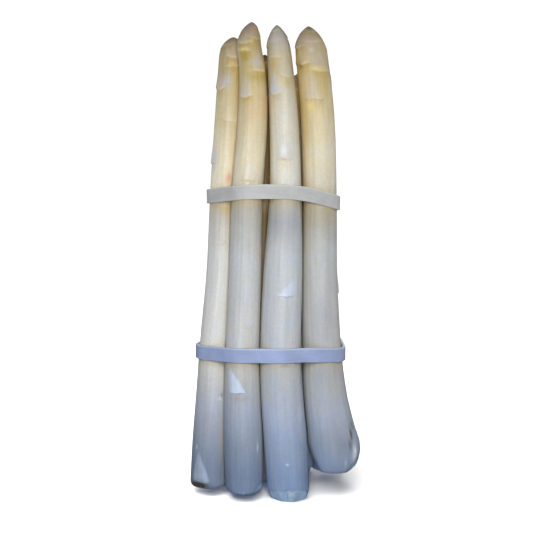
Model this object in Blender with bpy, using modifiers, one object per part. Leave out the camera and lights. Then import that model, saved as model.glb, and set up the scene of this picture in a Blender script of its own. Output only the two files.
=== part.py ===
"""Bundle of ten white asparagus spears, held upright by two wide rubber bands.

Frame: metres, +Z up along the spears, the floor at z = 0, the bundle's middle at x = y = 0.
-Y is the front, where four spears stand side by side.
"""

import math

import bmesh
import bpy
from mathutils import Matrix, Vector

# Driving dimensions, in millimetres and degrees.

mm = 0.001
section_sides = 12
body_rings = 13
tip_ring_shares = (0.8, 0.62, 0.45, 0.3, 0.19, 0.1, 0.04, 0.008)
start_below_foot = 4.0
foot_ring_shares = (0.0, 0.15, 0.45)
trim_height = 2.5
trim_inset = 1.4

golden_turn = 137.5
scale_sides = 10
scale_protrusion = 0.85
tip_protrusion = 0.35
full_protrusion_depth = 22.0
least_protrusion = 0.25
scale_radius_share = 0.86
scale_apex_share = 0.4
scale_apex_inset = 0.15
solid_gap = 0.35
tip_scale_depths = (3.2, 6.2, 10.2)
rule_scale_depths = (15.0, 21.0, 29.0, 41.0, 58.0, 83.0, 119.0, 169.0)
scale_length_share = 0.55
shortest_scale = 8.0
longest_scale = 13.0

band_width = 6.5
band_thickness = 1.3
band_points = 60
band_height_samples = 5

# A spear's middle and radius are given at these heights. Its tip starts to narrow at tip_length
# below the top, and a larger point makes it sharper. The rim of its cut end is rounded over
# trim_height. Its scales are (height, bearing), with bearing 0 at the front and 90 at the right,
# and a spear with none listed has them by rule.

station_heights = (0, 25, 50, 70, 105, 142, 180, 215)

spears = {
    "spear_front_left": {
        "foot": 4.0, "tip": 214.5, "turn": 100, "tip_length": 11.0, "point": 0.72,
        "x": (-31.6, -30.5, -28.8, -27.6, -24.6, -23.2, -20.9, -18.9),
        "y": (-9.5, -8.5, -7.4, -7.4, -5.2, -4.4, -3.8, -0.8),
        "radius": (8.9, 8.6, 8.2, 7.8, 7.3, 6.8, 6.5, 6.0),
        "scales": ((200, 3), (190, -58), (176, -1), (156, -72), (137, -125), (119, -9), (98, -140), (47, 33),
                   (28, -150)),
    },
    "spear_front_mid_left": {
        "foot": 4.0, "tip": 219.7, "turn": 60, "tip_length": 14.0, "point": 0.72,
        "x": (-14.1, -14.5, -14.9, -14.8, -13.5, -12.4, -9.8, -10.6),
        "y": (-17.0, -17.0, -17.0, -17.0, -15.5, -14.0, -12.0, -10.0),
        "radius": (8.6, 9.0, 8.3, 7.8, 7.4, 7.1, 6.6, 5.4),
        "scales": ((206, -29), (197, 42), (185.5, -28), (148, 1), (83, 25), (52, -12), (25, 42)),
    },
    "spear_front_mid_right": {
        "foot": 0.0, "tip": 218.4, "turn": -20, "tip_length": 15.0, "point": 0.80,
        "trim_height": 6.0, "trim_inset": 3.2,
        "x": (6.9, 5.4, 3.5, 2.8, 3.8, 5.0, 4.1, 1.4),
        "y": (-17.0, -17.0, -17.0, -17.0, -15.5, -14.0, -12.0, -10.0),
        "radius": (9.7, 10.0, 9.7, 9.3, 9.0, 7.3, 6.5, 5.2),
        "scales": ((203, -29), (194.5, 27), (187, -34), (157.5, -3), (95, 26)),
    },
    "spear_front_right": {
        "foot": 12.4, "tip": 217.9, "turn": 20, "tip_length": 15.0, "point": 0.85,
        "x": (28.2, 27.6, 24.0, 22.5, 21.2, 21.1, 19.5, 15.7),
        "y": (-8.8, -10.4, -9.7, -9.6, -8.0, -7.4, -9.0, -9.5),
        "radius": (10.4, 11.5, 10.2, 9.2, 8.4, 7.9, 7.8, 7.1),
        "scales": ((206, 125), (200, -53), (197, 30), (184.5, -9), (165, 118), (128, 70), (96, 100), (54.5, -30),
                   (21, 60)),
    },
    "spear_second_left": {
        "foot": 4.5, "tip": 206.8, "turn": 170, "tip_length": 14.0, "point": 0.75,
        "x": (-5.4, -5.5, -6.2, -6.8, -6.2, -5.5, -4.8, -4.3),
        "y": (-1.9, -1.9, -1.9, -2.4, -2.0, -1.6, 0.3, 0.6),
        "radius": (8.3, 8.1, 7.8, 7.5, 7.2, 6.5, 6.0, 5.2),
    },
    "spear_second_right": {
        "foot": 8.5, "tip": 198.0, "turn": 40, "tip_length": 16.0, "point": 0.80,
        "x": (11.4, 10.9, 9.8, 8.6, 8.2, 8.2, 8.2, 8.5),
        "y": (1.8, 1.3, 2.2, 1.9, 3.1, 1.5, 1.0, 0.6),
        "radius": (8.2, 8.0, 7.7, 7.9, 7.5, 7.0, 6.4, 5.4),
    },
    "spear_back_right": {
        "foot": 4.5, "tip": 205.0, "turn": 95, "tip_length": 13.0, "point": 0.75,
        "x": (27.0, 27.0, 25.5, 24.0, 23.0, 21.6, 21.4, 20.6),
        "y": (13.3, 10.4, 9.3, 8.2, 8.7, 8.2, 5.8, 4.4),
        "radius": (8.8, 8.6, 8.2, 8.0, 7.6, 7.0, 6.4, 5.4),
    },
    "spear_back_left": {
        "foot": 0.0, "tip": 207.0, "turn": -130, "tip_length": 15.0, "point": 0.80,
        "x": (-22.2, -20.8, -20.0, -19.8, -18.6, -16.2, -15.2, -12.0),
        "y": (5.8, 6.2, 7.2, 7.0, 8.8, 8.2, 8.6, 9.8),
        "radius": (8.5, 8.3, 8.0, 7.7, 7.3, 6.8, 6.2, 5.3),
    },
    "spear_back_mid_left": {
        "foot": 0.0, "tip": 204.0, "turn": -160, "tip_length": 12.0, "point": 0.72,
        "x": (-7.6, -5.9, -5.1, -4.9, -3.9, -2.3, -2.6, -0.6),
        "y": (16.5, 15.6, 14.8, 13.8, 13.6, 12.4, 13.0, 11.8),
        "radius": (8.8, 8.5, 8.2, 8.0, 7.6, 7.0, 6.4, 5.4),
    },
    "spear_back_mid_right": {
        "foot": 0.0, "tip": 200.0, "turn": 150, "tip_length": 17.0, "point": 0.85,
        "x": (10.2, 11.5, 11.5, 11.0, 11.0, 11.2, 11.1, 12.0),
        "y": (20.2, 19.4, 19.1, 18.4, 18.8, 18.6, 14.4, 12.4),
        "radius": (8.8, 8.6, 8.3, 8.0, 7.6, 7.0, 6.4, 5.4),
    },
}

# How high a band's middle line runs at the middle of its front, and how much lower it is at its
# left end, its right end and its back.

bundle_half_width = 31.0
bundle_half_depth = 25.0
bands = {
    "band_lower": {"middle": 69.8, "left_drop": 0.8, "right_drop": 1.7, "back_drop": 0.4,
                   "colour": (0.33, 0.37, 0.58)},
    "band_upper": {"middle": 143.6, "left_drop": 2.1, "right_drop": 5.8, "back_drop": 1.5,
                   "colour": (0.5, 0.5, 0.5)},
}
spear_colour = (0.72, 0.68, 0.55)


def clear_scene():
    for item in list(bpy.data.objects):
        bpy.data.objects.remove(item, do_unlink=True)


def new_collection(name):
    collection = bpy.data.collections.new(name)
    bpy.context.scene.collection.children.link(collection)
    return collection


def new_material(name, colour, roughness):
    material = bpy.data.materials.new(name)
    material.use_nodes = True
    surface = material.node_tree.nodes["Principled BSDF"]
    surface.inputs["Base Color"].default_value = (*colour, 1)
    surface.inputs["Roughness"].default_value = roughness
    surface.inputs["Metallic"].default_value = 0
    return material


def read_smoothly(values, height):
    """Cubic curve through the values at the station heights."""
    heights = station_heights
    last = len(heights) - 1
    at = max(i for i in range(last) if i == 0 or heights[i] <= height)

    def slope(i):
        low = max(i - 1, 0)
        high = min(i + 1, last)
        return (values[high] - values[low]) / (heights[high] - heights[low])

    span = heights[at + 1] - heights[at]
    t = (height - heights[at]) / span
    return ((2 * t**3 - 3 * t**2 + 1) * values[at] + (t**3 - 2 * t**2 + t) * span * slope(at)
            + (3 * t**2 - 2 * t**3) * values[at + 1] + (t**3 - t**2) * span * slope(at + 1))


def middle_at(spear, height):
    return Vector((read_smoothly(spear["x"], height), read_smoothly(spear["y"], height), height))


def radius_at(spear, height):
    """The shaft's radius, narrowing to the tip and a little at the trimmed foot."""
    share = min(max((spear["tip"] - height) / spear["tip_length"], 0), 1)
    roundness = (1 - (1 - share) ** 3) ** spear["point"]
    above = (height - spear["foot"]) / spear.get("trim_height", trim_height)
    above = min(max(above, 0), 1)
    trimmed = spear.get("trim_inset", trim_inset) * (1 - math.sqrt(1 - (1 - above) ** 2))
    return read_smoothly(spear["radius"], height) * roundness - trimmed


def direction(bearing):
    return Vector((math.sin(math.radians(bearing)), -math.cos(math.radians(bearing)), 0))


def free_room(name, height, bearing):
    """The least distance from a spear's side, near a bearing, to the other spears and bands."""
    room = 10.0
    spear = spears[name]
    for rise in (0, 6):
        for turn in (-45, -22, 0, 22, 45):
            side = middle_at(spear, height + rise) + direction(bearing + turn) * radius_at(spear, height + rise)
            for other_name, other in spears.items():
                if other_name != name:
                    away = (side - middle_at(other, height + rise)).length
                    room = min(room, away - radius_at(other, height + rise))
    for band in bands.values():
        middle = band_height(band, middle_at(spear, height))
        if middle - band_width / 2 - longest_scale < height < middle + band_width / 2 + solid_gap:
            room = 0
    return room


def band_height(band, place):
    """The height of a band's middle line beside a point: bowed from left to right, lower at the back."""
    across = place.x / bundle_half_width
    behind = (place.y / bundle_half_depth + 1) / 2
    end_drop = band["left_drop"] if across < 0 else band["right_drop"]
    return band["middle"] - end_drop * across**2 - band["back_drop"] * behind


def scale_places(spear):
    """Heights and bearings of a spear's scales, from the tip down."""
    depths = tip_scale_depths if "scales" in spear else tip_scale_depths + rule_scale_depths
    places = [(spear["tip"] - depth, spear["turn"] + k * golden_turn) for k, depth in enumerate(depths)]
    return places + list(spear.get("scales", ()))


def add_shaft(name, spear, collection):
    """A tapered tube along the spear's middle line, cut flat at its foot."""
    foot = spear["foot"]
    rim = spear.get("trim_height", trim_height)
    body_top = spear["tip"] - spear["tip_length"]
    step = (body_top - foot - rim) / (body_rings - 1)
    heights = [foot - start_below_foot] + [foot + rim * share for share in foot_ring_shares]
    heights += [foot + rim + step * i for i in range(body_rings)]
    heights += [spear["tip"] - spear["tip_length"] * share for share in tip_ring_shares]

    curve = bpy.data.curves.new(name, "CURVE")
    curve.dimensions = "3D"
    curve.bevel_depth = mm
    curve.bevel_resolution = section_sides // 2 - 2
    curve.use_fill_caps = True
    line = curve.splines.new("POLY")
    line.points.add(len(heights) - 1)
    for point, height in zip(line.points, heights):
        point.co = (*(middle_at(spear, height) * mm), 1)
        point.radius = radius_at(spear, height)
    tube = bpy.data.objects.new(name + "_line", curve)
    collection.objects.link(tube)
    bpy.context.view_layer.update()

    mesh = bpy.data.meshes.new_from_object(tube.evaluated_get(bpy.context.evaluated_depsgraph_get()))
    mesh.name = name
    shaft = bpy.data.objects.new(name, mesh)
    shaft.matrix_world = tube.matrix_world.copy()
    collection.objects.link(shaft)
    bpy.data.objects.remove(tube, do_unlink=True)

    work = bmesh.new()
    work.from_mesh(mesh)
    bmesh.ops.remove_doubles(work, verts=work.verts, dist=0.00002)
    cut = bmesh.ops.bisect_plane(work, geom=work.verts[:] + work.edges[:] + work.faces[:], dist=0.000001,
                                 plane_co=(0, 0, foot * mm), plane_no=(0, 0, 1), clear_inner=True)
    open_edges = [item for item in cut["geom_cut"] if isinstance(item, bmesh.types.BMEdge)]
    bmesh.ops.edgenet_fill(work, edges=open_edges)
    bmesh.ops.recalc_face_normals(work, faces=work.faces)
    work.to_mesh(mesh)
    work.free()
    return shaft


def add_scale(name, spear, height, bearing, protrusion, collection):
    """A bract: a cone leaning into the shaft, so that it shows as a pointed scale over a small ledge."""
    depth = spear["tip"] - height
    length = min(max(depth * scale_length_share, shortest_scale), longest_scale)
    length = min(length, depth * 0.9)
    low_radius = radius_at(spear, height)
    high_radius = radius_at(spear, height + length)
    base = low_radius * scale_radius_share
    apex = high_radius * scale_apex_share
    work = bmesh.new()
    bmesh.ops.create_cone(work, cap_ends=True, segments=scale_sides, radius1=base * mm, radius2=apex * mm,
                          depth=length * mm)
    outward = direction(bearing)
    low = middle_at(spear, height) + outward * (low_radius + protrusion - base)
    high = middle_at(spear, height + length) + outward * (high_radius - scale_apex_inset - apex)
    turn = Matrix.Rotation(math.radians(bearing - 90), 4, "Z")
    for vertex in work.verts:
        share = vertex.co.z / (length * mm) + 0.5
        flat = turn @ Vector((vertex.co.x, vertex.co.y, 0))
        vertex.co = flat + low.lerp(high, share) * mm
    mesh = bpy.data.meshes.new(name)
    work.to_mesh(mesh)
    work.free()
    scale = bpy.data.objects.new(name, mesh)
    scale.hide_render = True
    scale.display_type = "WIRE"
    collection.objects.link(scale)


def add_spear(name, spear, collection, material):
    """The shaft with its scales, joined in one union."""
    shaft = add_shaft(name, spear, collection)
    scales = new_collection(name + "_scales")
    for k, (height, bearing) in enumerate(scale_places(spear)):
        growth = min((spear["tip"] - height) / full_protrusion_depth, 1)
        wanted = tip_protrusion + (scale_protrusion - tip_protrusion) * growth
        protrusion = min(wanted, free_room(name, height, bearing) - solid_gap)
        if protrusion >= least_protrusion:
            add_scale(name + "_scale_" + str(k), spear, height, bearing, protrusion, scales)

    union = shaft.modifiers.new("join scales", "BOOLEAN")
    union.operation = "UNION"
    union.operand_type = "COLLECTION"
    union.collection = scales
    bpy.context.view_layer.update()
    joined = bpy.data.meshes.new_from_object(shaft.evaluated_get(bpy.context.evaluated_depsgraph_get()))
    shaft.modifiers.remove(union)
    shaft.data = joined
    for scale in list(scales.objects):
        bpy.data.objects.remove(scale, do_unlink=True)
    bpy.data.collections.remove(scales)
    joined.materials.clear()
    joined.materials.append(material)
    joined.shade_smooth()
    joined.set_sharp_from_angle(angle=math.radians(35))


def band_touch(bearing, middle):
    """The outermost point of all spears in one direction, over the band's width."""
    outward = direction(bearing)
    touch = Vector((0, 0, 0))
    for spear in spears.values():
        for sample in range(band_height_samples):
            height = middle + band_width * (sample / (band_height_samples - 1) - 0.5)
            side = middle_at(spear, height) + outward * (radius_at(spear, height) + solid_gap)
            if side.dot(outward) > touch.dot(outward):
                touch = side
    return touch


def add_band(name, band, collection, material):
    """A flat loop stretched round the spears, straight between one spear and the next."""
    work = bmesh.new()
    loop = []
    for k in range(band_points):
        bearing = 360 * k / band_points
        first = band_touch(bearing, band["middle"])
        touch = band_touch(bearing, band_height(band, first))
        low = band_height(band, touch) - band_width / 2
        loop.append(work.verts.new((touch.x * mm, touch.y * mm, low * mm)))
    for k, vertex in enumerate(loop):
        work.edges.new((vertex, loop[(k + 1) % len(loop)]))
    raised = bmesh.ops.extrude_edge_only(work, edges=work.edges[:])
    tops = [item for item in raised["geom"] if isinstance(item, bmesh.types.BMVert)]
    bmesh.ops.translate(work, verts=tops, vec=(0, 0, band_width * mm))
    bmesh.ops.recalc_face_normals(work, faces=work.faces)
    mesh = bpy.data.meshes.new(name)
    work.to_mesh(mesh)
    work.free()
    mesh.materials.append(material)
    item = bpy.data.objects.new(name, mesh)
    collection.objects.link(item)
    wall = item.modifiers.new("rubber", "SOLIDIFY")
    wall.thickness = band_thickness * mm
    wall.offset = 1
    wall.use_even_offset = True


def build():
    clear_scene()
    bundle = new_collection("asparagus_bundle")
    flesh = new_material("asparagus", spear_colour, 0.45)
    for name, spear in spears.items():
        add_spear(name, spear, bundle, flesh)
    for name, band in bands.items():
        rubber = new_material(name, band["colour"], 0.55)
        add_band(name, band, bundle, rubber)


build()
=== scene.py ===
import math

import bmesh
import bpy
import numpy as np
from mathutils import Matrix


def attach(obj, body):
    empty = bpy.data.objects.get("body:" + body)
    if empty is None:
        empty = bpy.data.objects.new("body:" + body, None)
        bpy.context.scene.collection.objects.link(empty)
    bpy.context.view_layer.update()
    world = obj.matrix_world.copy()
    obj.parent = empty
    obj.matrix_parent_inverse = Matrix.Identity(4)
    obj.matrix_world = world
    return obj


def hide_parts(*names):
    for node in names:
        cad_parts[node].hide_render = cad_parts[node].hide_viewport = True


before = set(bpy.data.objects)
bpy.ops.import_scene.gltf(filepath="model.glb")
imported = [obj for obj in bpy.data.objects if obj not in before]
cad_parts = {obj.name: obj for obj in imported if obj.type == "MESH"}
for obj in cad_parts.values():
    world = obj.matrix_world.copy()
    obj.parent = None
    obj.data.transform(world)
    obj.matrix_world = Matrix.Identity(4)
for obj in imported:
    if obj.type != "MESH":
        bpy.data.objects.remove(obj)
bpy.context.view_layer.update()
print("frame loaded:", len(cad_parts), "nodes")

mm = 0.001

# Camera: low in front, a little above the middle of the bundle, as in the photograph.

cameraView = {
    "place": (-2.0, -394.8, 147.4),
    "lookDown": 6.0,
    "focalLength": 55.35,
    "sensorWidth": 36.0,
}

camera = bpy.data.cameras.new("photoCamera")
camera.sensor_fit = "HORIZONTAL"
camera.sensor_width = cameraView["sensorWidth"]
camera.lens = cameraView["focalLength"]
camera.clip_start = 0.01
cameraObject = bpy.data.objects.new("photoCamera", camera)
cameraObject.location = [value * mm for value in cameraView["place"]]
cameraObject.rotation_euler = (math.radians(90 - cameraView["lookDown"]), 0, 0)
bpy.context.scene.collection.objects.link(cameraObject)
bpy.context.scene.camera = cameraObject
print("camera placed")

# Spears. Lengths are in millimetres and bearings in degrees, 0 at the front and 90 at the right.
# x, y and radius are given at the station heights. detail is plain unless it says fine.
# scales: height, bearing, paleness, and any of tilt, lean, length, halfWidth, thickness, bow and peel.
#   peel is how much the scale shows the bluish white flesh under torn skin.
# marks: kind of spot, height, bearing, half width, half height, strength.
# bends: sideways leans in the looks alone: height, spread, shift to the right.
# bulges: height, bearing, half width, half height, how far they stand out.
# shaves: flat cuts at the foot: bearing, how far up they reach, how deep they bite, and how pale
#   they are. A cut with no paleness given is fully pale and sharp, any other is soft.

stationHeights = np.array((0, 25, 50, 70, 105, 142, 180, 215), float)

spears = {
    "spear_front_left": {
        "piece": "spearFrontLeft", "foot": 4.0, "tip": 214.5, "turn": 100,
        "tipLength": 11.0, "point": 0.72,
        "x": (-31.6, -30.5, -28.8, -27.6, -24.6, -23.2, -20.9, -18.9),
        "y": (-9.5, -8.5, -7.4, -7.4, -5.2, -4.4, -3.8, -0.8),
        "radius": (8.9, 8.6, 8.2, 7.8, 7.3, 6.8, 6.5, 6.0),
        "warmth": 0.35, "paleness": 0.0, "coolness": -0.5, "tone": 1.24, "footTone": 0.88, "detail": "fine",
        "scales": (
            (200, 3, 0.1), (190, -58, 0.5), (176, -1, 0.1), (156, -72, 0.6), (137, -125, 0),
            (119, -9, 0, {"tilt": 0.25}), (98, -140, 0), (47, 33, 0.5), (28, -150, 0),
            (6.5, -24, 0, {"length": 17, "halfWidth": 4.8, "lean": -1.6, "thickness": 0.35, "peel": 0.6}),
        ),
        # Among these marks the white spots are painted highlights on the tip, a ledge and the peel's apex,
        # the amber spot just under the upper band is painted shade, and the bluish grey spot at the foot is
        # painted shade.
        "marks": (
            ("amber", 199.3, 12, 1.6, 1.5, 0.9), ("amber", 195, 30, 1.2, 2.2, 0.7),
            ("highlightAndFleck", 207.5, -22, 0.35, 1.3, 0.35), ("highlightAndFleck", 206, -16, 0.3, 1.0, 0.3),
            ("yellowAndHighlight", 202.5, -30, 0.5, 1.6, 0.5), ("bloom", 194, -14, 2.6, 4.0, 0.6),
            ("bloom", 160, -50, 2.0, 5.5, 0.7), ("yellowAndHighlight", 201.4, 2, 1.5, 0.9, 0.5),
            ("highlightAndFleck", 175.9, 14, 2.3, 0.5, 0.35), ("blush", 149.5, 17, 1.8, 2.8, 1.0),
            ("amber", 135.5, 12, 3.0, 3.0, 0.5), ("bruise", 48.5, 32, 0.6, 1.2, 0.6),
            ("highlightAndFleck", 47, 26, 1.2, 0.6, 0.8), ("highlightAndFleck", 23.5, -43, 0.5, 1.2, 0.8),
            ("blush", 28, 40, 1.5, 8.0, 0.25), ("mauve", 36, -10, 5.0, 9.0, 0.22),
            ("bruise", 5.6, -36, 5.0, 1.9, 1.7), ("bluishShade", 11, 26, 3.6, 6.0, 0.8),
        ),
        "shaves": ((-28, 4.5, 1.6),),
    },
    "spear_front_mid_left": {
        "piece": "spearFrontMidLeft", "foot": 4.0, "tip": 219.7, "turn": 60,
        "tipLength": 14.0, "point": 0.72,
        "x": (-14.1, -14.5, -14.9, -14.8, -13.5, -12.4, -9.8, -10.6),
        "y": (-17.0, -17.0, -17.0, -17.0, -15.5, -14.0, -12.0, -10.0),
        "radius": (8.6, 9.0, 8.3, 7.8, 7.4, 7.1, 6.6, 5.4),
        "warmth": 0.8, "paleness": 0.0, "coolness": 0.0, "tone": 1.0, "footTone": 0.88, "detail": "fine",
        "bends": ((209, 6.0, -1.1), (220, 2.5, 0.5)),
        "scales": (
            (206, -29, 0.2), (197, 42, 0.5), (185.5, -32, 0.9), (148, 1, 0),
            (83, 25, 0, {"length": 9, "halfWidth": 3.0, "thickness": 0.2, "peel": 0.3}),
            (52, -14, 0, {"lean": -4.2, "length": 12.5, "halfWidth": 4.3, "peel": 1.2, "bow": 0.1}),
        ),
        # Among these marks the white spots are painted highlights, the thin lemon-yellow lines at 206.9 and
        # 197.4 are painted highlights along ledges, and the long bluish grey strip low down is painted
        # shade.
        "marks": (
            ("blush", 217, 25, 1.4, 2.6, 0.6), ("mauve", 216.5, -10, 4.0, 4.2, 0.9),
            ("mustard", 203.6, -26, 2.6, 2.2, 1.0), ("yellowAndHighlight", 206.9, -24, 2.0, 0.8, 0.8),
            ("yellowAndHighlight", 210.5, 14, 0.9, 1.2, 0.6), ("mustard", 209, 20, 3.6, 2.8, 0.4),
            ("mustard", 194.4, 28, 4.6, 2.0, 0.6), ("bloom", 201, 12, 2.4, 2.6, 0.3),
            ("yellowAndHighlight", 197.4, 20, 3.6, 0.5, 0.5), ("blush", 183, 58, 1.6, 5.0, 0.9),
            ("blush", 179, 0, 4.0, 5.0, 0.3), ("highlightAndFleck", 153.5, 4, 2.6, 2.6, 0.2),
            ("highlightAndFleck", 147.2, 2, 0.45, 0.6, 0.9), ("bruise", 148.6, -6, 2.6, 0.5, 0.25),
            ("blush", 117, 60, 1.2, 6.0, 0.35), ("highlightAndFleck", 26.3, 50, 0.5, 2.6, 0.7),
            ("mauve", 49.5, -10, 5.0, 1.4, 0.35), ("bluishShade", 30, -40, 2.5, 20.0, 0.25),
        ),
        "shaves": ((-2, 2.6, 0.9), (62, 4.6, 2.0)),
    },
    "spear_front_mid_right": {
        "piece": "spearFrontMidRight", "foot": 0.0, "tip": 218.4, "turn": -20,
        "tipLength": 15.0, "point": 0.80, "trimHeight": 6.0, "trimInset": 3.2,
        "x": (6.9, 5.4, 3.5, 2.8, 3.8, 5.0, 4.1, 1.4),
        "y": (-17.0, -17.0, -17.0, -17.0, -15.5, -14.0, -12.0, -10.0),
        "radius": (9.7, 10.0, 9.7, 9.3, 9.0, 7.3, 6.5, 5.2),
        "warmth": 0.2, "paleness": 0.8, "coolness": 0.7, "tone": 0.97, "footTone": 1.14, "detail": "fine",
        "scales": (
            (203, -29, 0.3), (194.5, 27, 0.4), (187, -34, 1.3), (157.5, -3, 0.6),
            (96.5, 12, 0, {"length": 7.5, "halfWidth": 4.6, "lean": 3.0, "peel": 0.6, "bow": 0.2}),
        ),
        # Among these marks the white spots are painted highlights on ledges and on the cut facets, the thin
        # lemon-yellow lines at 203.6 and 194.3 are painted highlights along ledges, and the bluish grey
        # patch under the upper band and the thin one near the foot are painted shade.
        "marks": (
            ("amber", 200.4, -33, 1.2, 2.8, 1.0), ("yellowAndHighlight", 202, 0, 7.0, 8.0, 0.25),
            ("bloom", 212, -14, 4.0, 5.0, 0.5), ("yellowAndHighlight", 203.6, -18, 1.6, 0.6, 0.4),
            ("yellowAndHighlight", 194.3, 28, 2.6, 0.6, 0.4), ("amber", 192, 32, 2.6, 2.0, 0.4),
            ("highlightAndFleck", 162, -5, 1.4, 2.2, 0.8), ("amber", 158, -8, 1.4, 0.6, 0.6),
            ("yellowAndHighlight", 155.4, -8, 0.9, 1.0, 0.9), ("bluishShade", 130, -4, 9.0, 5.0, 0.45),
            ("highlightAndFleck", 96.9, 0, 1.8, 0.7, 0.8), ("bruise", 65.3, 12, 2.2, 0.7, 0.4),
            ("highlightAndFleck", 19.4, 1, 0.7, 0.4, 0.9), ("bruise", 3.6, -5, 0.25, 2.6, 0.5),
            ("highlightAndFleck", 4.6, 5, 1.3, 1.5, 0.6), ("highlightAndFleck", 5.8, 22, 2.6, 0.6, 0.5),
            ("highlightAndFleck", 5.4, -30, 1.8, 0.7, 0.45), ("bluishShade", 7.6, 16, 3.0, 0.5, 0.4),
        ),
        "shaves": ((-5, 7.4, 4.2), (-42, 6.0, 3.6), (36, 6.4, 3.7)),
    },
    "spear_front_right": {
        "piece": "spearFrontRight", "foot": 12.4, "tip": 217.9, "turn": 20,
        "tipLength": 15.0, "point": 0.85,
        "x": (28.2, 27.6, 24.0, 22.5, 21.2, 21.1, 19.5, 15.7),
        "y": (-8.8, -10.4, -9.7, -9.6, -8.0, -7.4, -9.0, -9.5),
        "radius": (10.4, 11.5, 10.2, 9.2, 8.4, 7.9, 7.8, 7.1),
        "warmth": 0.75, "paleness": 0.0, "coolness": -0.1, "tone": 0.9, "footTone": 1.1, "detail": "fine",
        "scales": (
            (206, 125, 0), (200, -53, 0.2), (197, 30, 0.3), (184.5, -9, 0.25), (165, 118, 0),
            (128, 70, 0.3), (96, 100, 0.2), (54.5, -30, 0.2, {"thickness": 0.25}),
        ),
        # Among these marks the white spot on the tip and the lemon-yellow spot at 181.8 are painted
        # highlights, the white spots low on the right are the pale flap of torn skin, and the mustard patch
        # under the upper band and the bluish grey patches are painted shade.
        "marks": (
            ("bruise", 216.6, 0, 1.2, 2.2, 0.35), ("mauve", 210.5, -28, 3.4, 4.4, 0.7),
            ("highlightAndFleck", 206.4, -4, 1.2, 0.9, 0.3), ("mustard", 212, 4, 1.6, 2.0, 0.35),
            ("amber", 200.6, -54, 1.3, 2.4, 1.0), ("bruise", 199.2, -50, 1.1, 1.3, 0.5),
            ("bloom", 203, 14, 4.5, 3.4, 0.25), ("bloom", 210, 8, 4.5, 4.0, 0.3),
            ("yellowAndHighlight", 198.2, 12, 3.0, 1.0, 0.9), ("bloom", 189.5, -16, 3.0, 4.0, 0.3),
            ("mauve", 187, -10, 2.4, 3.0, 0.3), ("yellowAndHighlight", 181.8, -24, 1.8, 2.6, 1.0),
            ("amber", 176, -54, 3.0, 12.0, 0.7), ("amber", 190, 34, 1.2, 5.0, 0.35),
            ("bruise", 101.6, -74, 0.8, 3.4, 0.6), ("bloom", 106, -11, 2.4, 0.8, 0.3),
            ("mustard", 131, 0, 8.0, 5.0, 0.25), ("bluishShade", 82, 4, 9.0, 12.0, 0.3),
            ("bluishShade", 60, 4, 9.0, 6.0, 0.3), ("mauve", 30, 8, 6.0, 8.0, 0.3),
            ("bruise", 27, 20, 2.2, 3.2, 0.25), ("bruise", 31, 50, 0.8, 3.0, 1.0),
            ("bruise", 26, 40, 0.7, 2.6, 0.9), ("bruise", 34.5, 60, 0.9, 2.2, 0.8),
            ("bruise", 24, 84, 1.3, 6.0, 0.7), ("highlightAndFleck", 20.5, 52, 1.3, 4.0, 1.3),
            ("highlightAndFleck", 17.5, 28, 0.7, 2.2, 0.4), ("bluishShade", 15, 0, 7.0, 2.4, 0.5),
        ),
        "bulges": ((24, 74, 5.5, 8.0, 1.7), (20, 47, 1.6, 5.0, 0.5), (28, 50, 0.9, 4.0, -0.6)),
        "shaves": ((62, 4.0, 2.2), (-72, 8.5, 3.0, 0.15), (-98, 8.5, 4.4, 0.15)),
    },
    # This spear sits deep between the front spears: its low tone and foot tone are painted shade, and its
    # inner colour is a painted golden shade.
    "spear_second_left": {
        "piece": "spearSecondLeft", "foot": 4.5, "tip": 206.8, "turn": 170,
        "tipLength": 14.0, "point": 0.75,
        "x": (-5.4, -5.5, -6.2, -6.8, -6.2, -5.5, -4.8, -4.3),
        "y": (-1.9, -1.9, -1.9, -2.4, -2.0, -1.6, 0.3, 0.6),
        "radius": (8.3, 8.1, 7.8, 7.5, 7.2, 6.5, 6.0, 5.2),
        "warmth": 0.6, "paleness": 0.2, "coolness": 0.0, "tone": 0.55, "footTone": 0.3, "innerShade": 0.95,
    },
    # Its inner colour is a painted golden shade, for sitting behind the front spears.
    "spear_second_right": {
        "piece": "spearSecondRight", "foot": 8.5, "tip": 198.0, "turn": 40,
        "tipLength": 16.0, "point": 0.80,
        "x": (11.4, 10.9, 9.8, 8.6, 8.2, 8.2, 8.2, 8.5),
        "y": (1.8, 1.3, 2.2, 1.9, 3.1, 1.5, 1.0, 0.6),
        "radius": (8.2, 8.0, 7.7, 7.9, 7.5, 7.0, 6.4, 5.4),
        "warmth": 0.5, "paleness": 0.3, "coolness": 0.2, "tone": 1.0, "footTone": 1.15, "innerShade": 0.55,
    },
    "spear_back_right": {
        "piece": "spearBackRight", "foot": 4.5, "tip": 205.0, "turn": 95,
        "tipLength": 13.0, "point": 0.75,
        "x": (27.0, 27.0, 25.5, 24.0, 23.0, 21.6, 21.4, 20.6),
        "y": (13.3, 10.4, 9.3, 8.2, 8.7, 8.2, 5.8, 4.4),
        "radius": (8.8, 8.6, 8.2, 8.0, 7.6, 7.0, 6.4, 5.4),
        "warmth": 0.4, "paleness": 0.4, "coolness": 0.5, "tone": 0.96, "footTone": 1.0,
    },
    "spear_back_left": {
        "piece": "spearBackLeft", "foot": 0.0, "tip": 207.0, "turn": -130,
        "tipLength": 15.0, "point": 0.80,
        "x": (-22.2, -20.8, -20.0, -19.8, -18.6, -16.2, -15.2, -12.0),
        "y": (5.8, 6.2, 7.2, 7.0, 8.8, 8.2, 8.6, 9.8),
        "radius": (8.5, 8.3, 8.0, 7.7, 7.3, 6.8, 6.2, 5.3),
        "warmth": 0.7, "paleness": 0.1, "coolness": -0.3, "tone": 1.04, "footTone": 1.0,
    },
    "spear_back_mid_left": {
        "piece": "spearBackMidLeft", "foot": 0.0, "tip": 204.0, "turn": -160,
        "tipLength": 12.0, "point": 0.72,
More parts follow.
